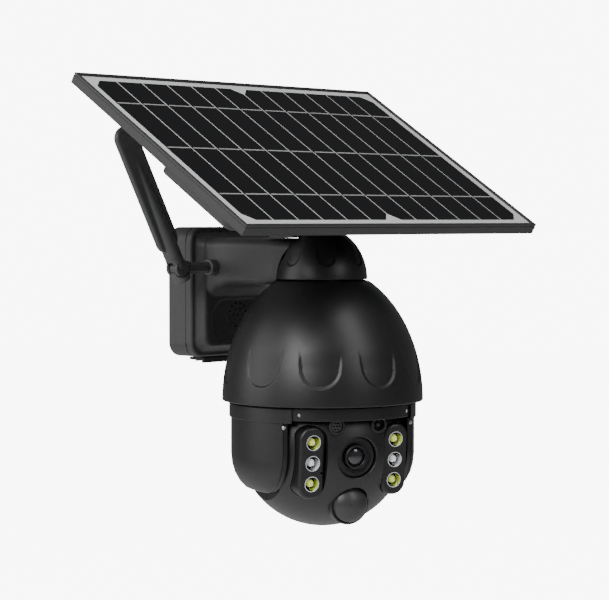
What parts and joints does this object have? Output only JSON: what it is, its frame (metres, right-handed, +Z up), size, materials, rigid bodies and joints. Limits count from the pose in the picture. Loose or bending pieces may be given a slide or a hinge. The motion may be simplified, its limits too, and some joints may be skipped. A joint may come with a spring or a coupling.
{
  "type": "solar-powered security camera",
  "caption": "Wall-mounted pan and tilt security camera with a solar panel on its arm, a domed head with lamps and sensors, and a paddle antenna.",
  "frame": {"origin": "centre of the wall bracket's back face, on the wall", "axes": "+X right seen from the front, -Y out of the wall towards the viewer, +Z up"},
  "size_m": [0.264, 0.1703, 0.2781],
  "materials": {
    "satin_black": "satin moulded, fine texture",
    "matt_black": "matt moulded",
    "rubber": "matt",
    "steel": "zinc plated",
    "bearing_steel": "polished",
    "brass": "machined",
    "white_plastic": "natural acetal",
    "circuit_board": "solder mask",
    "cell_wrap": "shrink wrap",
    "lens_glass": "coated",
    "solar_glass": "black cells under clear glass",
    "sensor_window": "satin, translucent to infrared",
    "lamp_phosphor": "yellow phosphor under clear resin",
    "lamp_clear": "clear resin"
  },
  "bodies": {
    "mount": {"wall_bracket": "steel", "rear_shell": "matt_black", "box_gasket": "rubber", "front_cover": "satin_black", "arm_cap": "satin_black", "dome_shell": "satin_black", "battery_cell_1": "cell_wrap", "battery_cell_2": "cell_wrap", "battery_cell_3": "cell_wrap", "battery_tray": "white_plastic", "charge_board": "circuit_board", "speaker": "steel", "solar_inlet": "matt_black", "motor_plate": "steel", "pan_motor": "steel", "pan_bearing": "bearing_steel", "panel_bracket": "satin_black", "hinge_bolt": "steel", "antenna_stub": "matt_black"},
    "reset_button": {"reset_button": "rubber"},
    "port_flap": {"port_flap": "rubber"},
    "pan_pinion": {"pan_pinion": "brass"},
    "head": {"pan_spindle": "steel", "pan_gear": "white_plastic", "yoke": "satin_black", "ear_cover_left": "satin_black", "ear_cover_right": "satin_black", "tilt_motor": "steel"},
    "tilt_pinion": {"tilt_pinion": "brass"},
    "ball": {"ball_front": "satin_black", "ball_rear": "satin_black", "tilt_axle_left": "steel", "tilt_axle_right": "steel", "tilt_gear": "white_plastic", "lens_bezel": "matt_black", "lens_barrel": "matt_black", "lens_glass": "lens_glass", "image_board": "circuit_board", "lamp_pod_left": "satin_black", "lamp_pod_right": "satin_black", "lamp_left_1": "lamp_phosphor", "lamp_left_2": "lamp_clear", "lamp_left_3": "lamp_phosphor", "lamp_right_1": "lamp_phosphor", "lamp_right_2": "lamp_clear", "lamp_right_3": "lamp_phosphor", "microphone": "matt_black", "light_sensor": "lens_glass", "motion_lens": "sensor_window", "motion_sensor": "steel"},
    "panel": {"panel_frame": "matt_black", "cell_glass": "solar_glass", "back_tray": "matt_black", "junction_box": "matt_black"},
    "antenna_knuckle": {"antenna_knuckle": "matt_black"},
    "antenna_blade": {"antenna_blade": "matt_black"}
  },
  "joints": [
    {"name": "pan", "type": "hinge", "parent": "mount", "child": "head", "pos_m": [0, -0.1048, -0.06], "axis": [0, 0, 1], "range_deg": [-150, 200]},
    {"name": "tilt", "type": "hinge", "parent": "head", "child": "ball", "pos_m": [0, -0.1048, -0.0915], "axis": [0.9259, -0.3778, 0], "range_deg": [-4, 75]},
    {"name": "pan_pinion_spin", "type": "hinge", "parent": "mount", "child": "pan_pinion", "pos_m": [-0.025, -0.1048, -0.007], "axis": [0, 0, 1], "range_deg": [-810, 610]},
    {"name": "tilt_pinion_spin", "type": "hinge", "parent": "head", "child": "tilt_pinion", "pos_m": [0.00529, -0.09184, -0.0915], "axis": [0.9259, -0.3778, 0], "range_deg": [-230, 20]},
    {"name": "panel_tilt", "type": "hinge", "parent": "mount", "child": "panel", "pos_m": [0, -0.098, 0.054], "axis": [1, 0, 0], "range_deg": [-3, 25]},
    {"name": "antenna_swivel", "type": "hinge", "parent": "mount", "child": "antenna_knuckle", "pos_m": [-0.0515, -0.036, 0.016], "axis": [1, 0, 0], "range_deg": [-12, 5]},
    {"name": "antenna_fold", "type": "hinge", "parent": "antenna_knuckle", "child": "antenna_blade", "pos_m": [-0.0585, -0.036, 0.016], "axis": [0, -1, 0], "range_deg": [-2, 61]},
    {"name": "reset_press", "type": "slide", "parent": "mount", "child": "reset_button", "axis": [0, 0, 1], "range_m": [0, 0.0012], "stiffness_N_per_m": 800},
    {"name": "port_flap_hinge", "type": "hinge", "parent": "mount", "child": "port_flap", "pos_m": [0, -0.008, -0.0439], "axis": [1, 0, 0], "range_deg": [0, 85]}
  ],
  "couplings": [
    {"joint": "pan_pinion_spin", "follows": "pan", "ratio": -4},
    {"joint": "tilt_pinion_spin", "follows": "tilt", "ratio": -3}
  ]
}
